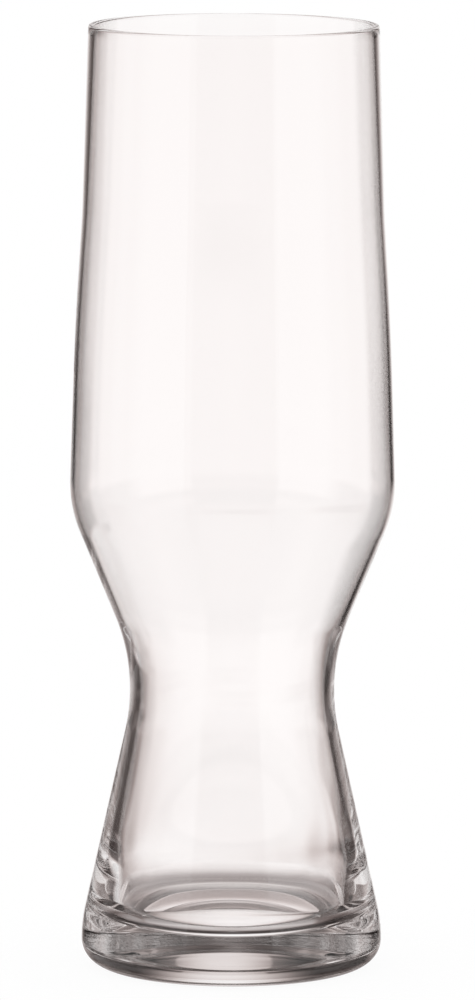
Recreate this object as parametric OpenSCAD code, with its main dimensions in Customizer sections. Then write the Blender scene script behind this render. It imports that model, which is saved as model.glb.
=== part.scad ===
// Weizen glass: a tall thin-walled bowl, drawn in to a waist and fused to a heavy solid foot.
// Millimetres, +Z up. The origin is the centre of the ring that the foot stands on.
// Corner sizes are those of the sharp profile, before its arcs round it off.

/* [Rim] */
// Height of the rim above the table
rim_h = 220; // [212:1:232]
// Outside diameter at the rim
rim_d = 67.3; // [64:0.1:69]
// Thickness of the fire-polished lip
rim_wall = 1.5; // [1:0.1:2]

/* [Upper bowl] */
// Height where the straight mouth ends and the wall begins to swell
mouth_h = 176.7; // [170:0.1:182]
// Outside diameter at that height
mouth_d = 70; // [69:0.1:71]
// Radius of the hollow curve there
mouth_round = 150; // [80:5:200]
// Wall thickness there
mouth_wall = 1.1; // [0.8:0.05:1.6]
// Height of the middle of the swell
swell_h = 150; // [140:0.5:155]
// Outside diameter at that height
swell_d = 73.3; // [72:0.1:74]
// Radius of the swell
swell_round = 900; // [300:50:1000]
// Wall thickness at the swell
swell_wall = 0.9; // [0.7:0.05:1.4]

/* [Shoulder] */
// Height of the shoulder corner
shoulder_h = 108; // [104:0.5:112]
// Outside diameter at the shoulder corner
shoulder_d = 76; // [75:0.1:78]
// Outside radius of the shoulder's turn
shoulder_round = 30; // [20:1:34]
// Wall thickness at the shoulder
shoulder_wall = 0.85; // [0.7:0.05:1.4]

/* [Waist] */
// Height of the waist corner
waist_h = 69; // [66:0.5:72]
// Outside diameter at the waist corner
waist_d = 43.7; // [42:0.1:46]
// Outside radius of the waist
waist_round = 45; // [30:1:50]
// Wall thickness at the waist corner
waist_wall = 1.6; // [1.2:0.1:2]
// Radius of the hollow's waist
waist_hollow_round = 42; // [30:1:46]

/* [Foot] */
// Widest diameter of the foot
foot_d = 70.1; // [69:0.1:71]
// Height of the corner where the flare meets the upright side
flare_h = 9.8; // [9.8:0.1:11]
// Radius that turns the flare upright
flare_round = 33; // [20:1:33]
// Radius of the lower edge
edge_round = 6; // [4:0.1:6]
// Height of the seam where the bowl is fused to the foot
seam_h = 20; // [19:0.5:21]

/* [Hollow of the foot] */
// Diameter of the lower chamber
chamber_d = 54.8; // [53:0.1:57]
// Height of the corner where the chamber wall turns in to the waist
chamber_h = 26.5; // [26.5:0.5:32]
// Radius of that turn
chamber_round = 65; // [30:5:65]
// Thickness of solid glass under the floor
floor_h = 10; // [9:0.1:12]
// Radius between the floor and the chamber wall
floor_round = 6.3; // [4:0.1:7]

/* [Underside] */
// Diameter of the hollow under the foot
punt_d = 45.6; // [30:0.2:54]
// Depth of that hollow at its centre
punt_depth = 2.5; // [1:0.1:4]
// Radius of the standing ring's inner edge
ring_round = 3; // [1:0.5:6]

/* [Hidden] */
// Most that a chord may stand off a true arc
chord_gap = 0.008;
turn_fn = 180;
clear_glass = [0.93, 0.95, 0.96, 0.35];
thick_glass = [0.85, 0.88, 0.9, 0.45];

// Outer profile, each corner as [radius, height]
foot_corner = [foot_d / 2, flare_h];
waist_corner = [waist_d / 2, waist_h];
shoulder_corner = [shoulder_d / 2, shoulder_h];
swell_corner = [swell_d / 2, swell_h];
mouth_corner = [mouth_d / 2, mouth_h];
rim_corner = [rim_d / 2, rim_h];

// Hollow, the same corners less the wall
waist_inner = waist_corner - [waist_wall, 0];
shoulder_inner = shoulder_corner - [shoulder_wall, 0];
swell_inner = swell_corner - [swell_wall, 0];
mouth_inner = mouth_corner - [mouth_wall, 0];
rim_inner = rim_corner - [rim_wall, 0];
chamber_corner = [chamber_d / 2, chamber_h];
floor_corner = [chamber_d / 2, floor_h];

// Both ends of the seam: on the outer flare and on the upright chamber wall
seam_outer = at_height(foot_corner, waist_corner, seam_h);
seam_inner = [chamber_d / 2, seam_h];

// Arc on both sides of the lip, which leaves a narrow flat on top
lip_round = 0.45 * rim_wall;

// Radius of the ball whose cap is the hollow under the foot
punt_ball = (pow(punt_d / 2, 2) + pow(punt_depth, 2)) / (2 * punt_depth);

// Where the ring's inner edge begins: an arc that touches the table and that ball
ring_rise = punt_ball + ring_round - punt_depth;
ring_start = sqrt(pow(punt_ball + ring_round, 2) - pow(ring_rise, 2));

function unit(v) = v / norm(v);

// Point of the line from a to b at height z
function at_height(a, b, z) = a + (b - a) * (z - a[1]) / (b[1] - a[1]);

// Number of chords that keeps an arc within chord_gap
function arc_steps(turn, radius) = max(2, ceil(turn / (2 * acos(1 - chord_gap / radius))));

// Arc of the given radius that rounds the corner b on the way from a to c
function rounded(a, b, c, radius) =
    let (back = unit(a - b), ahead = unit(c - b))
    let (half = acos(back * ahead) / 2, turn = 180 - 2 * half)
    let (start = b + back * radius / tan(half))
    let (centre = b + unit(back + ahead) * radius / sin(half))
    let (outward = (start - centre) / radius, steps = arc_steps(turn, radius))
    [for (i = [0 : steps])
        let (t = turn * i / steps)
        centre + radius * (cos(t) * outward - sin(t) * back)];

// Chain of corners [point, radius] between two plain end points
function chain(first, corners, last) =
    let (p = concat([first], [for (c = corners) c[0]], [last]))
    concat(
        [first],
        [for (i = [0 : len(corners) - 1]) each rounded(p[i], p[i + 1], p[i + 2], corners[i][1])],
        [last]);

// Cap of the ball from the axis outwards, then the ring's inner edge down to the table
function punt_section() =
    let (reach = atan2(ring_start, ring_rise))
    let (cap_steps = arc_steps(reach, punt_ball), edge_steps = arc_steps(reach, ring_round))
    concat(
        [for (i = [0 : cap_steps - 1])
            let (t = reach * i / cap_steps)
            [punt_ball * sin(t), punt_ball * cos(t) - punt_ball + punt_depth]],
        [for (i = [0 : edge_steps - 1])
            let (t = reach * (1 - i / edge_steps))
            [ring_start - ring_round * sin(t), ring_round - ring_round * cos(t)]]);

// Outer wall from the seam up to the lip, over the lip, and the inner wall down to the seam
function bowl_section() =
    chain(seam_outer, [
        [waist_corner, waist_round],
        [shoulder_corner, shoulder_round],
        [swell_corner, swell_round],
        [mouth_corner, mouth_round],
        [rim_corner, lip_round],
        [rim_inner, lip_round],
        [mouth_inner, mouth_round],
        [swell_inner, swell_round],
        [shoulder_inner, shoulder_round - shoulder_wall],
        [waist_inner, waist_hollow_round],
        [chamber_corner, chamber_round]
    ], seam_inner);

// Chamber wall down to the floor, the hollow underside, the standing ring, the edge and the flare
function foot_section() =
    concat(
        chain(seam_inner, [[floor_corner, floor_round]], [0, floor_h]),
        punt_section(),
        chain([ring_start, 0], [
            [[foot_d / 2, 0], edge_round],
            [foot_corner, flare_round]
        ], seam_outer));

// Thin blown vessel: chamber wall, waist, shoulder, swell and fire-polished rim
module bowl() {
    color(clear_glass)
        rotate_extrude($fn = turn_fn)
            polygon(bowl_section());
}

// Heavy solid foot: floor of the hollow, rounded edge and hollow underside
module foot() {
    color(thick_glass)
        rotate_extrude($fn = turn_fn)
            polygon(foot_section());
}

bowl();
foot();
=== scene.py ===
import math

import bpy
import numpy as np
from mathutils import Matrix, Vector


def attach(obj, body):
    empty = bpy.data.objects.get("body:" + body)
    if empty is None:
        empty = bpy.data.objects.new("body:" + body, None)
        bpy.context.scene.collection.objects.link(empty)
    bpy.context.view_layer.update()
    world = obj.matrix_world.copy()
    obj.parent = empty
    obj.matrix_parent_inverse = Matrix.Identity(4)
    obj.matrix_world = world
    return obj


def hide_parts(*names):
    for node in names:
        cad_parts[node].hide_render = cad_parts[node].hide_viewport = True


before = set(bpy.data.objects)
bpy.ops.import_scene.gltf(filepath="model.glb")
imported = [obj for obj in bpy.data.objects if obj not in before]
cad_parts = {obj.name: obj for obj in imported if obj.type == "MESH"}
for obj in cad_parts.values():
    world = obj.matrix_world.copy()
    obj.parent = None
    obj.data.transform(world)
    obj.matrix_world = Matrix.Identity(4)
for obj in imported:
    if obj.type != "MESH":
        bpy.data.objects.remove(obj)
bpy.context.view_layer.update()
scene = bpy.context.scene
mm = 0.001
nearAxis = 1e-6  # a radius below this lies on the axis
print("frame loaded:", ", ".join(sorted(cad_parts)))


# small helpers for node trees

def addNode(tree, kind, **settings):
    node = tree.nodes.new(kind)
    for key, value in settings.items():
        setattr(node, key, value)
    return node


def plug(tree, value, socket):
    # a socket from another node is linked, anything else is a plain setting
    if isinstance(value, bpy.types.NodeSocket):
        tree.links.new(value, socket)
    elif socket.type == "RGBA":
        grey = value if isinstance(value, (tuple, list)) else (value, value, value)
        socket.default_value = (*grey, 1.0)
    else:
        socket.default_value = value


def mathNode(tree, operation, *values, clamp=False):
    node = addNode(tree, "ShaderNodeMath", operation=operation, use_clamp=clamp)
    for value, socket in zip(values, node.inputs):
        plug(tree, value, socket)
    return node.outputs[0]


def easeNode(tree, value, start, end, low=0.0, high=1.0):
    # smooth step from low at start to high at end, start may be the larger
    node = addNode(tree, "ShaderNodeMapRange", interpolation_type="SMOOTHSTEP")
    for socket, number in zip(node.inputs, (value, start, end, low, high)):
        plug(tree, number, socket)
    return node.outputs[0]


def windowNode(tree, value, start, end, soft):
    # 1 between start and end, fading to 0 over soft on both sides
    rise = easeNode(tree, value, start - soft, start)
    fall = easeNode(tree, value, end + soft, end)
    return mathNode(tree, "MULTIPLY", rise, fall)


def rampNode(tree, value, stops):
    node = addNode(tree, "ShaderNodeValToRGB")
    plug(tree, value, node.inputs[0])
    ramp = node.color_ramp
    ramp.elements.remove(ramp.elements[-1])
    for index, (place, colour) in enumerate(stops):
        stop = ramp.elements[0] if index == 0 else ramp.elements.new(place)
        stop.position = place
        stop.color = (*colour, 1.0)
    return node.outputs[0]


def shaderMix(tree, share, first, second):
    node = addNode(tree, "ShaderNodeMixShader")
    for value, socket in zip((share, first, second), node.inputs):
        plug(tree, value, socket)
    return node.outputs[0]


def mixNode(tree, kind, share, first, second, blend="MIX"):
    # the node has sockets for every kind of value, and only those of its own kind count
    inputs, result = {"FLOAT": ((0, 2, 3), 0), "RGBA": ((0, 6, 7), 2)}[kind]
    node = addNode(tree, "ShaderNodeMix", data_type=kind, blend_type=blend)
    for value, index in zip((share, first, second), inputs):
        plug(tree, value, node.inputs[index])
    return node.outputs[result]


def inGlassNode(tree):
    # 1 for what is seen mirrored in the glass or through it, 0 for what is seen or lit directly
    path = addNode(tree, "ShaderNodeLightPath")
    mirrored, passed = path.outputs["Is Glossy Ray"], path.outputs["Is Transmission Ray"]
    return mathNode(tree, "ADD", mirrored, passed, clamp=True)


# profiles and turned surfaces, in millimetres

def chordCount(turn, arc, gap, fewest):
    # as many chords as keep within gap of an arc that turns this far
    return max(fewest, int(np.ceil(turn / (2 * np.arccos(1 - gap / arc)))))


def roundedPath(first, corners, last, gap=0.0015, fewest=4, step=2.5):
    # straight runs from corner to corner, each corner (radius, height, arc) replaced by an arc tangent to
    # both runs; a run is cut into pieces of about step
    points = [np.array(first, float)]
    sharp = [points[0]] + [np.array(c[:2], float) for c in corners] + [np.array(last, float)]

    def runTo(target):
        pieces = max(1, int(np.ceil(np.linalg.norm(target - points[-1]) / step)))
        points.extend(points[-1] + (target - points[-1]) * np.linspace(0, 1, pieces + 1)[1:, None])

    for index, corner in enumerate(corners, 1):
        back, ahead = sharp[index - 1] - sharp[index], sharp[index + 1] - sharp[index]
        back, ahead = back / np.linalg.norm(back), ahead / np.linalg.norm(ahead)
        half = np.arccos(np.clip(back @ ahead, -1, 1)) / 2
        arc, turn = corner[2], np.pi - 2 * half
        start = sharp[index] + back * arc / np.tan(half)
        centre = sharp[index] + (back + ahead) / np.linalg.norm(back + ahead) * arc / np.sin(half)
        angle = np.linspace(0, turn, chordCount(turn, arc, gap, fewest) + 1)[1:, None]
        runTo(start)
        points.extend(centre + np.cos(angle) * (start - centre) - np.sin(angle) * arc * back)
    runTo(sharp[-1])
    return np.array(points)


def puntPath(punt, gap=0.0015, fewest=6):
    # cap of a ball from the axis outwards, then a small arc tangent to the ball and to the table
    depth, arc = punt["depth"], punt["ringArc"]
    ball = (punt["across"] ** 2 / 4 + depth ** 2) / (2 * depth)
    rise = ball + arc - depth
    start = np.sqrt((ball + arc) ** 2 - rise ** 2)
    reach = np.arctan2(start, rise)
    cap = np.linspace(0, reach, punt["capRows"])[:-1]
    edge = np.linspace(reach, 0, chordCount(reach, arc, gap, fewest))
    return np.r_[
        np.c_[ball * np.sin(cap), ball * np.cos(cap) - ball + depth],
        np.c_[start - arc * np.sin(edge), arc * (1 - np.cos(edge))],
    ]


def turnedPiece(name, profile, seam, spokes, inner, uneven):
    # each profile point (r, z) goes round the axis: x = r' cos v, y = r' sin v, z = z, where on the inner
    # rows r' = r + sum of small waves a * cos(n v + p + z / l), as hot glass is never quite even inside;
    # the streaks are finer waves under a bell curve over z, full at the right, less at the left and least
    # in front and behind
    angle = np.linspace(0, 2 * np.pi, spokes, endpoint=False)
    radius, height = profile[:, :1], profile[:, 1:]
    ripple = sum(a * np.cos(n * angle + p + height / l) for n, a, p, l in uneven["waves"])
    ripple = ripple * np.clip((uneven["top"] - height) / uneven["fade"], 0, 1)
    aside = np.cos(angle)
    lively = uneven["left"] + (1 - uneven["left"]) * (1 + aside) / 2
    lively = lively * (uneven["front"] + (1 - uneven["front"]) * aside ** 2)
    for at, over, fine in uneven["streaks"]:
        streaks = sum(a * np.cos(n * angle + p + height / l) for n, a, p, l in fine)
        ripple = ripple + lively * streaks * np.exp(-((height - at) / over) ** 2)
    live = radius + ripple * np.clip(radius / uneven["calmUnder"], 0, 1) * inner[:, None]
    place = np.stack([live * np.cos(angle), live * np.sin(angle), np.broadcast_to(height, live.shape)], -1)

    # a profile that starts and ends on the axis is closed by two fans, any other closes on itself
    poles = profile[0, 0] < nearAxis
    grid = np.arange(live.size).reshape(live.shape)
    if poles:
        grid, place = grid[:-2], place[1:-1]
    lower, upper = grid[:-1], grid[1:]
    if not poles:
        lower, upper = grid, np.roll(grid, -1, axis=0)
    quads = np.stack([lower, np.roll(lower, -1, 1), np.roll(upper, -1, 1), upper], -1).reshape(-1, 4)
    place = place.reshape(-1, 3)
    faces = quads.tolist()
    if poles:
        first, last = len(place), len(place) + 1
        place = np.r_[place, [[0, 0, profile[0, 1]], [0, 0, profile[-1, 1]]]]
        bottom = np.stack([np.full(spokes, first), np.roll(grid[0], -1), grid[0]], -1)
        top = np.stack([np.full(spokes, last), grid[-1], np.roll(grid[-1], -1)], -1)
        faces += bottom.tolist() + top.tolist()

    mesh = bpy.data.meshes.new(name)
    mesh.from_pydata((place * mm).tolist(), [], faces)
    mesh.polygons.foreach_set("use_smooth", np.ones(len(faces), bool))

    # the two rings of the seam: the flat ring between them is the fused joint, and keeps a crisp edge
    rowOf = np.full(len(place), -1)
    rowOf[: grid.size] = np.repeat(np.arange(len(grid)), spokes)
    seamRows = (np.array(seam) - (1 if poles else 0)) % len(grid)
    ends = np.empty(len(mesh.edges) * 2, int)
    mesh.edges.foreach_get("vertices", ends)
    pair = rowOf[ends.reshape(-1, 2)]
    crisp = (pair[:, 0] == pair[:, 1]) & np.isin(pair[:, 0], seamRows)
    mesh.attributes.new("sharp_edge", "BOOLEAN", "EDGE").data.foreach_set("value", crisp)
    slots = np.zeros(len(faces), int)
    quadRows = rowOf[quads]
    slots[: len(quads)] = np.all(np.isin(quadRows, seamRows), axis=1) & (np.ptp(quadRows, axis=1) > 0)
    mesh.polygons.foreach_set("material_index", slots)
    mesh.update()
    mesh.validate()
    piece = bpy.data.objects.new(name, mesh)
    scene.collection.objects.link(piece)
    print(name, "has", len(faces), "faces,", int(slots.sum()), "on the seam")
    return piece


# finishes

grainLook = {
    "waveStretch": 0.35, "waveDetail": 1.0,
    "hazeSize": 95.0, "hazeDetail": 4.0, "hazeEdge": (0.52, 0.78),
}


def grainGroup():
    # slow waves of blown glass, longer up the glass than round it, and patches of faint wiping haze
    group = bpy.data.node_groups.new("blownGrain", "ShaderNodeTree")
    for name, kind in (("Position", "NodeSocketVector"), ("Wave Size", "NodeSocketFloat")):
        group.interface.new_socket(name, in_out="INPUT", socket_type=kind)
    for name in ("Wave", "Haze"):
        group.interface.new_socket(name, in_out="OUTPUT", socket_type="NodeSocketFloat")
    enter, leave = addNode(group, "NodeGroupInput"), addNode(group, "NodeGroupOutput")
    stretch = addNode(group, "ShaderNodeMapping")
    stretch.inputs["Scale"].default_value = (1, 1, grainLook["waveStretch"])
    plug(group, enter.outputs["Position"], stretch.inputs["Vector"])
    wave = addNode(group, "ShaderNodeTexNoise")
    wave.inputs["Detail"].default_value = grainLook["waveDetail"]
    plug(group, stretch.outputs[0], wave.inputs["Vector"])
    plug(group, enter.outputs["Wave Size"], wave.inputs["Scale"])
    haze = addNode(group, "ShaderNodeTexNoise")
    haze.inputs["Scale"].default_value = grainLook["hazeSize"]
    haze.inputs["Detail"].default_value = grainLook["hazeDetail"]
    plug(group, enter.outputs["Position"], haze.inputs["Vector"])
    plug(group, wave.outputs[0], leave.inputs["Wave"])
    plug(group, easeNode(group, haze.outputs[0], *grainLook["hazeEdge"]), leave.inputs["Haze"])
    return group


grain = grainGroup()


def glassFinish(name, look):
    material = bpy.data.materials.new(name)
    material.use_nodes = True
    tree = material.node_tree
    glass = tree.nodes["Principled BSDF"]
    plug(tree, look["tint"], glass.inputs["Base Color"])
    glass.inputs["IOR"].default_value = look["ior"]
    glass.inputs["Transmission Weight"].default_value = 1.0
    where = addNode(tree, "ShaderNodeTexCoord")
    blown = addNode(tree, "ShaderNodeGroup", node_tree=grain)
    blown.inputs["Wave Size"].default_value = look["waveSize"]
    plug(tree, where.outputs["Object"], blown.inputs["Position"])
    bump = addNode(tree, "ShaderNodeBump")
    bump.inputs["Strength"].default_value = 1.0
    bump.inputs["Distance"].default_value = look["waveHeight"]
    plug(tree, blown.outputs["Wave"], bump.inputs["Height"])
    plug(tree, bump.outputs[0], glass.inputs["Normal"])
    rough = easeNode(tree, blown.outputs["Haze"], 0.0, 1.0, look["rough"], look["hazed"])
    if look["scuffed"]:
        # the ring that slides on tables is scuffed, so roughness grows close to the table
        split = addNode(tree, "ShaderNodeSeparateXYZ")
        plug(tree, where.outputs["Object"], split.inputs[0])
        worn = easeNode(tree, split.outputs["Z"], look["scuffTop"], 0.0)
        rough = mathNode(tree, "MULTIPLY_ADD", worn, look["scuffed"], rough)
    plug(tree, rough, glass.inputs["Roughness"])
    return material


def seamFinish():
    # inside fused glass nothing shows, so light passes the seam unbent
    material = bpy.data.materials.new("fusedSeam")
    material.use_nodes = True
    tree = material.node_tree
    tree.nodes.clear()
    clear = addNode(tree, "ShaderNodeBsdfTransparent")
    leave = addNode(tree, "ShaderNodeOutputMaterial")
    plug(tree, clear.outputs[0], leave.inputs["Surface"])
    return material


seamClear = seamFinish()

# unevenness of the inner wall; a wave is its number round the glass, its size and phase, and its twist

waver = {
    "waves": ((2, 0.05, 0.4, 31.0), (3, 0.03, 2.1, -23.0), (5, 0.012, 1.2, 17.0)),
    "calmUnder": 18.0, "top": 215.0, "fade": 120.0,  # it dies out towards the axis and towards the rim
    # finer twisted streaks: height they are strongest at, how far up and down they reach, and the waves
    "streaks": ((29.0, 6.5, ((11, 0.05, 0.3, 9.0), (17, 0.04, 1.9, -7.0), (26, 0.025, 3.5, 13.0))),
                (42.0, 13.0, ((9, 0.03, 0.7, 8.0), (14, 0.025, 2.9, 6.0), (23, 0.012, 4.4, 11.0)))),
    "left": 0.4, "front": 0.12,  # share of the streaks at the left, and in front and behind
}


# bowl: the thin blown vessel, as (radius, height, arc) corners of its outer and inner wall

bowlShape = {
    "outer": ((21.85, 69.0, 45.0), (38.0, 108.0, 30.0), (36.65, 150.0, 900.0), (35.0, 176.7, 150.0),
              (33.65, 220.0, 0.675)),
    "inner": ((32.15, 220.0, 0.675), (33.9, 176.7, 150.0), (35.75, 150.0, 900.0), (37.15, 108.0, 29.15),
              (20.25, 69.0, 42.0), (27.4, 26.5, 65.0)),
    "seam": 20.0, "flareFoot": (35.05, 9.8), "chamber": 27.4, "spokes": 256,
    "rimRows": 4,  # rows past the rim's crest that still belong to the rim
}
bowlGlass = {"tint": (1.0, 0.982, 0.978), "ior": 1.5, "waveSize": 40.0, "waveHeight": 0.00002,
             "rough": 0.0, "hazed": 0.005, "scuffed": 0.0}


def seamOuter():
    # the seam's outer end lies on the straight flare between the foot's corner and the waist's
    (r0, z0), (r1, z1) = bowlShape["flareFoot"], bowlShape["outer"][0][:2]
    return r0 + (r1 - r0) * (bowlShape["seam"] - z0) / (z1 - z0), bowlShape["seam"]


def seamInner():
    return bowlShape["chamber"], bowlShape["seam"]


def makeBowl():
    profile = roundedPath(seamOuter(), bowlShape["outer"] + bowlShape["inner"], seamInner())
    crest = int(np.argmax(profile[:, 1]))
    inner = (np.arange(len(profile)) > crest + bowlShape["rimRows"]).astype(float)
    bowl = turnedPiece("bowl_glass_wall", profile, (0, len(profile) - 1), bowlShape["spokes"], inner, waver)
    bowl.data.materials.append(glassFinish("bowlGlass", bowlGlass))
    bowl.data.materials.append(seamClear)
    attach(bowl, "root")
    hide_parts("bowl")


# foot: the solid base with the chamber's floor above and the hollow below

footShape = {
    "edge": ((35.05, 0.0, 6.0), (35.05, 9.8, 33.0)),
    "floor": (27.4, 10.0, 6.3),
    "punt": {"across": 45.6, "depth": 2.5, "ringArc": 3.0, "capRows": 24}, "spokes": 256,
}
footGlass = {"tint": (1.0, 0.982, 0.978), "ior": 1.5, "waveSize": 60.0, "waveHeight": 0.00001,
             "rough": 0.0, "hazed": 0.005, "scuffed": 0.008, "scuffTop": 0.0003}


def makeFoot():
    punt = puntPath(footShape["punt"])
    flare = roundedPath(punt[-1], footShape["edge"], seamOuter())
    floor = roundedPath(seamInner(), (footShape["floor"],), (0, footShape["floor"][1]))
    profile = np.r_[punt, flare[1:], floor]
    seamRow = len(punt) + len(flare) - 2
    inner = (np.arange(len(profile)) > seamRow).astype(float)
    foot = turnedPiece("foot_glass_base", profile, (seamRow, seamRow + 1), footShape["spokes"], inner, waver)
    foot.data.materials.append(glassFinish("footGlass", footGlass))
    foot.data.materials.append(seamClear)
    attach(foot, "root")
    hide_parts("foot")


makeBowl()
makeFoot()


# table: a pale round top that fades into the white surroundings, in metres

table = {
    "across": 0.2, "sides": 96, "drop": 0.0002, "fadeFrom": 0.04, "fadeTo": 0.098,
    "colour": 0.9, "shadowShare": 0.06, "warm": (0.12, 0.0, -0.02),
    # what the glass lets through of it, by millimetres from the axis, is a painted contact shadow: clear
    # under the hollow, painted dark where the ring touches and painted shade round the foot; sideways
    # millimetres count for less in the ring and for more in the shade
    "ring": {
        "sideways": 0.85,
        "stops": ((0, 1.0), (18, 1.0), (19.2, 0.3), (20.4, 0.07), (23, 0.07), (25.5, 0.4), (28, 0.85),
                  (31, 1.0)),
    },
    "shade": {
        "sideways": 1.12,
        "stops": ((0, 1.0), (24, 1.0), (27, 0.75), (30, 0.62), (32, 0.66), (34.5, 0.42), (37.5, 0.31),
                  (40.5, 0.34), (44, 0.45), (48, 0.7), (53, 0.87), (60, 0.93), (74, 1.0)),
    },
}


def makeTable():
    angle = np.linspace(0, 2 * np.pi, table["sides"], endpoint=False)
    edge = table["across"] / 2
    # a hair below the standing ring, so that the ring keeps its own mirror-like face
    ring = np.c_[edge * np.cos(angle), edge * np.sin(angle), np.full(len(angle), -table["drop"])]
    mesh = bpy.data.meshes.new("table")
    mesh.from_pydata(ring.tolist(), [], [list(range(len(angle)))])
    top = bpy.data.objects.new("table", mesh)
    scene.collection.objects.link(top)
    material = bpy.data.materials.new("paleTable")
    material.use_nodes = True
    tree = material.node_tree
    tree.nodes.clear()
    where, path = addNode(tree, "ShaderNodeTexCoord"), addNode(tree, "ShaderNodeLightPath")

    def outFrom(sideways):
        scaled = addNode(tree, "ShaderNodeVectorMath", operation="MULTIPLY")
        plug(tree, where.outputs["Object"], scaled.inputs[0])
        scaled.inputs[1].default_value = (sideways, 1.0, 1.0)
        length = addNode(tree, "ShaderNodeVectorMath", operation="LENGTH")
        plug(tree, scaled.outputs[0], length.inputs[0])
        return length.outputs["Value"]

    # painted contact shadow: a colour ramp over the distance from the axis, not a shadow that is cast
    def paintedShadowTone(look):
        # the painted shadow's dark parts are a little warm: each channel is level * (1 + warm * (1 - level))
        reach = look["stops"][-1][0]
        stops = []
        for radius, level in look["stops"]:
            stops.append((radius / reach, [level * (1 + warm * (1 - level)) for warm in table["warm"]]))
        return rampNode(tree, mathNode(tree, "DIVIDE", outFrom(look["sideways"]), reach * mm), stops)

    matte = addNode(tree, "ShaderNodeBsdfDiffuse")
    plug(tree, table["colour"], matte.inputs["Color"])
    # seen directly, the table is white with only a share of the shadow
    share = addNode(tree, "ShaderNodeBsdfDiffuse")
    plug(tree, table["colour"] * table["shadowShare"], share.inputs["Color"])
    white = addNode(tree, "ShaderNodeEmission")
    white.inputs["Strength"].default_value = 1.0 - table["colour"] * table["shadowShare"]
    bright = addNode(tree, "ShaderNodeAddShader")
    plug(tree, share.outputs[0], bright.inputs[0])
    plug(tree, white.outputs[0], bright.inputs[1])
    # seen in the glass, it is the surroundings with a painted contact shadow over them, a ramp by distance
    # from the axis
    shadowVeil = addNode(tree, "ShaderNodeBsdfTransparent")
    paintedShadow = mixNode(tree, "RGBA", 1.0, paintedShadowTone(table["ring"]), paintedShadowTone(table["shade"]), "MULTIPLY")
    plug(tree, paintedShadow, shadowVeil.inputs["Color"])
    inGlass = inGlassNode(tree)
    look = shaderMix(tree, inGlass, matte.outputs[0], shadowVeil.outputs[0])
    look = shaderMix(tree, path.outputs["Is Camera Ray"], look, bright.outputs[0])
    gone = addNode(tree, "ShaderNodeBsdfTransparent")
    fade = easeNode(tree, outFrom(1.0), table["fadeFrom"], table["fadeTo"])
    past = mathNode(tree, "MULTIPLY", fade, mathNode(tree, "SUBTRACT", 1.0, inGlass))
    look = shaderMix(tree, past, look, gone.outputs[0])
    leave = addNode(tree, "ShaderNodeOutputMaterial")
    plug(tree, look, leave.inputs["Surface"])
    mesh.materials.append(material)


# studio, as the glass shows it: a glowing backdrop that falls off to both sides, dark gaps beside it, then
# the sides, the front and what is round the camera; each list holds (degrees above the horizon, value)

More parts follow.
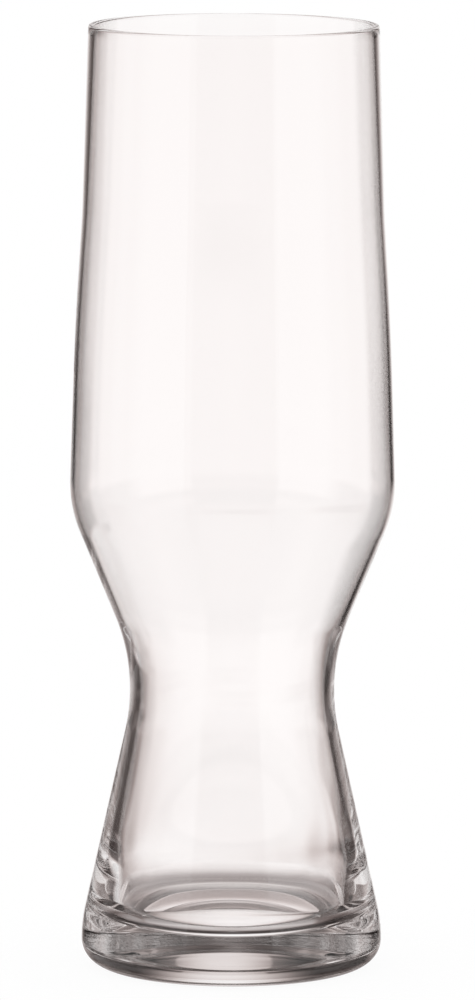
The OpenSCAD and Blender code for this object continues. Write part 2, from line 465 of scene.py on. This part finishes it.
studio = {
    # the backdrop: the heading of its middle, its level, half its width, how sharply it falls off, and how
    # many degrees its middle moves to the left
    "facing": 1.9,
    "peak": ((-10, 1.0), (-5, 0.98), (-3, 0.97), (0, 0.85), (4, 0.8), (9, 0.68), (20, 0.75), (28, 0.55),
             (36, 0.1), (48, 0.35), (55, 0.95), (60, 0.4), (75, 0.1)),
    "width": ((-30, 23), (-25, 20), (-21, 13), (-18, 14), (-15, 17), (-13, 19), (-10, 19.5), (-8, 15),
              (-7, 12), (-6, 14), (-5, 16.5), (-4, 18.3), (-3, 20), (0, 15.5), (9, 16), (13, 11.5), (20, 15),
              (28, 17), (38, 14), (50, 22), (58, 35)),
    "fall": ((-9, 2.5), (-7, 4.2), (-4, 4.0), (0, 2.5)),
    "lean": ((-26, 0), (-22, 5), (-20, 5), (-18, 3.5), (-15, 1), (-13, 0)),
    # its upper panel ends sharply: elevations and their fade, edge, and what is left of the glow past it
    "panel": {"span": (9.0, 17.0), "fade": 2.0, "edge": (10.8, 12.2), "past": 0.45},
    # levels round about, and how far from the backdrop's middle each of them starts or ends
    "gap": ((-44, 0.4), (-34, 0.1), (-30, 0.05), (-16, 0.03), (-10, 0.05), (-4, 0.08), (0, 0.04), (4, 0.0),
            (16, 0.01), (30, 0.05), (60, 0.08)),
    "side": ((-40, 0.95), (-30, 0.9), (-22, 0.8), (-16, 0.7), (-11, 0.82), (0, 0.84), (4, 0.22), (14, 0.2),
             (20, 0.3), (28, 0.4), (36, 0.08), (50, 0.06), (75, 0.08)),
    "front": ((-10, 1.0), (0, 1.0), (9, 0.88), (14, 0.9), (19, 0.2), (28, 0.5), (36, 0.15), (48, 0.06),
              (80, 0.03)),
    "camera": ((-30, 0.9), (-16, 0.8), (-10, 0.78), (0, 0.76), (4, 0.6), (9, 0.32), (14, 0.4), (20, 0.13),
               (28, 0.08), (38, 0.4), (48, 0.15), (56, 0.02)),
    "gapFrom": (20, 34), "gapTo": (54, 64), "sideFrom": (55, 65), "frontFrom": (88, 112), "cameraFrom": 147.0,
    "dark": 0.015, "warm": (0.22, 0.0, -0.05),
    # white screens for the other sides and two low cards, each a bell curve over the angle away from its
    # heading; some have dark gaps beside them over a span of elevations, which reach so many degrees round
    # and hide so much of what is there
    "screenFall": 2.5, "gapEnd": (44, 58), "pastGaps": 0.35, "gapFade": 1.5, "reachFade": 6,
    "screens": (
        {"heading": -45, "width": 20, "lit": ((-48, 0.0), (-46, 1.0), (-22.5, 1.0), (-20.5, 0.0)),
         "gaps": {"span": (-26.2, -23.6), "reach": 30, "hide": 1.0}},
        {"heading": 135, "width": 20, "lit": ((-26, 0.0), (-24, 1.0), (-10, 1.0), (-8, 0.0)),
         "gaps": {"span": (-16.6, -13.4), "reach": 70, "hide": 0.6}},
        {"heading": -90, "width": 20, "lit": ((-14, 0.0), (-12, 1.0), (0, 1.0), (2, 0.0)), "gaps": None},
        {"heading": -53, "width": 12,
         "lit": ((-11, 0.0), (-10, 0.35), (-9, 0.35), (-8, 0.05), (-6, 0.05), (-4.6, 0.4), (-3, 0.5),
                 (-1.8, 0.4), (-0.8, 0.0)), "gaps": None},
        {"heading": 53, "width": 13,
         "lit": ((-10.5, 0.0), (-9, 0.25), (-6, 0.3), (-4.6, 0.45), (-3, 0.65), (-1.5, 0.6), (-0.5, 0.0)),
         "gaps": None},
    ),
}


def makeStudio():
    world = bpy.data.worlds.new("studio")
    world.use_nodes = True
    scene.world = world
    tree = world.node_tree
    tree.nodes.clear()
    where = addNode(tree, "ShaderNodeTexCoord")
    split = addNode(tree, "ShaderNodeSeparateXYZ")
    plug(tree, where.outputs["Generated"], split.inputs[0])
    degrees = 180 / math.pi
    heading = mathNode(tree, "ARCTAN2", split.outputs["X"], split.outputs["Y"])
    heading = mathNode(tree, "MULTIPLY", heading, degrees)
    rise = mathNode(tree, "MULTIPLY", mathNode(tree, "ARCSINE", split.outputs["Z"]), degrees)
    span = mathNode(tree, "MULTIPLY_ADD", rise, 1 / 180, 0.5)

    def times(*values):
        total = values[0]
        for value in values[1:]:
            total = mathNode(tree, "MULTIPLY", total, value)
        return total

    def plus(*values):
        total = values[0]
        for value in values[1:]:
            total = mathNode(tree, "ADD", total, value)
        return total

    def byRise(levels):
        # a ramp from straight down to straight up; it holds 0 to 1, so larger values go in scaled
        most = max(1.0, *(level for angle, level in levels))
        stops = [((angle + 90) / 180, (level / most,) * 3) for angle, level in levels]
        return times(rampNode(tree, span, stops), most)

    def awayFrom(facing):
        return mathNode(tree, "PINGPONG", mathNode(tree, "SUBTRACT", heading, facing), 180.0)

    def glow(away, peak, width, fall):
        # bell curve peak * exp(-(away / width) ^ fall), flatter on top the larger fall is
        part = mathNode(tree, "POWER", mathNode(tree, "DIVIDE", away, width), fall)
        return times(peak, mathNode(tree, "EXPONENT", times(part, -1.0)))

    off = awayFrom(studio["facing"])
    leaning = mathNode(tree, "SUBTRACT", studio["facing"], byRise(studio["lean"]))
    peak, width, fall = byRise(studio["peak"]), byRise(studio["width"]), byRise(studio["fall"])
    level = glow(awayFrom(leaning), peak, width, fall)
    panel = studio["panel"]
    past = times(easeNode(tree, off, *panel["edge"]), windowNode(tree, rise, *panel["span"], panel["fade"]))
    level = times(level, mathNode(tree, "MULTIPLY_ADD", past, panel["past"] - 1.0, 1.0))
    level = mathNode(tree, "MAXIMUM", level, studio["dark"])

    gapStart = easeNode(tree, off, *studio["gapFrom"])
    gapStop = easeNode(tree, off, *reversed(studio["gapTo"]))
    sideStart = easeNode(tree, off, *studio["sideFrom"])
    frontStart = easeNode(tree, off, *studio["frontFrom"])
    byCamera = mathNode(tree, "GREATER_THAN", off, studio["cameraFrom"])
    side = byRise(studio["side"])
    frontLift = mathNode(tree, "SUBTRACT", byRise(studio["front"]), side)
    cameraLift = mathNode(tree, "SUBTRACT", byRise(studio["camera"]), side)
    level = plus(
        level,
        times(byRise(studio["gap"]), gapStart, gapStop),
        times(side, sideStart),
        times(frontLift, frontStart, mathNode(tree, "SUBTRACT", 1.0, byCamera)),
        times(cameraLift, byCamera),
    )
    for screen in studio["screens"]:
        away = awayFrom(screen["heading"])
        bell = glow(away, 1.0, screen["width"], studio["screenFall"])
        level = mathNode(tree, "MAXIMUM", level, times(bell, byRise(screen["lit"])))
        gaps = screen["gaps"]
        if gaps:
            pastGaps = times(easeNode(tree, away, *studio["gapEnd"]), studio["pastGaps"])
            near = easeNode(tree, away, gaps["reach"], gaps["reach"] - studio["reachFade"])
            share = times(windowNode(tree, rise, *gaps["span"], studio["gapFade"]), near, gaps["hide"])
            level = mixNode(tree, "FLOAT", share, level, plus(bell, pastGaps, studio["dark"]))
    # dark parts are a little warm: each channel is level * (1 + warm * (1 - level))
    shade = mathNode(tree, "SUBTRACT", 1.0, level, clamp=True)
    colour = addNode(tree, "ShaderNodeCombineColor")
    for warm, socket in zip(studio["warm"], colour.inputs):
        plug(tree, times(level, mathNode(tree, "MULTIPLY_ADD", shade, warm, 1.0)), socket)

    # only the glass shows these levels; behind it, and as light on the table, the studio is plain white
    seen = addNode(tree, "ShaderNodeBackground")
    plug(tree, colour.outputs[0], seen.inputs["Color"])
    white = addNode(tree, "ShaderNodeBackground")
    plug(tree, 1.0, white.inputs["Color"])
    leave = addNode(tree, "ShaderNodeOutputWorld")
    look = shaderMix(tree, inGlassNode(tree), white.outputs[0], seen.outputs[0])
    plug(tree, look, leave.inputs["Surface"])


makeTable()
makeStudio()
scene.view_settings.view_transform = "Standard"
bounces = 96  # light turns round many times in the thick foot
for limit in ("max_bounces", "transmission_bounces", "glossy_bounces", "transparent_max_bounces"):
    setattr(scene.cycles, limit, bounces)


# camera: solved from the outline of the glass, in millimetres and degrees; clip in metres

camera = {
    "distance": 1882.0, "height": 369.37, "aside": 1.139, "pitch": 7.8694, "roll": 0.1725,
    "lens": 294.17, "sensor": 36.0, "clip": (0.1, 100.0),
}


def makeCamera():
    data = bpy.data.cameras.new("camera")
    data.sensor_width = camera["sensor"]
    data.lens = camera["lens"]
    data.clip_start, data.clip_end = camera["clip"]
    eye = bpy.data.objects.new("camera", data)
    scene.collection.objects.link(eye)
    place = Vector((camera["aside"], -camera["distance"], camera["height"])) * mm
    tilt = Matrix.Rotation(math.radians(90 - camera["pitch"]), 4, "X")
    roll = Matrix.Rotation(math.radians(camera["roll"]), 4, "Z")
    eye.matrix_world = Matrix.Translation(place) @ tilt @ roll
    scene.camera = eye


makeCamera()
print("studio, table and camera set")
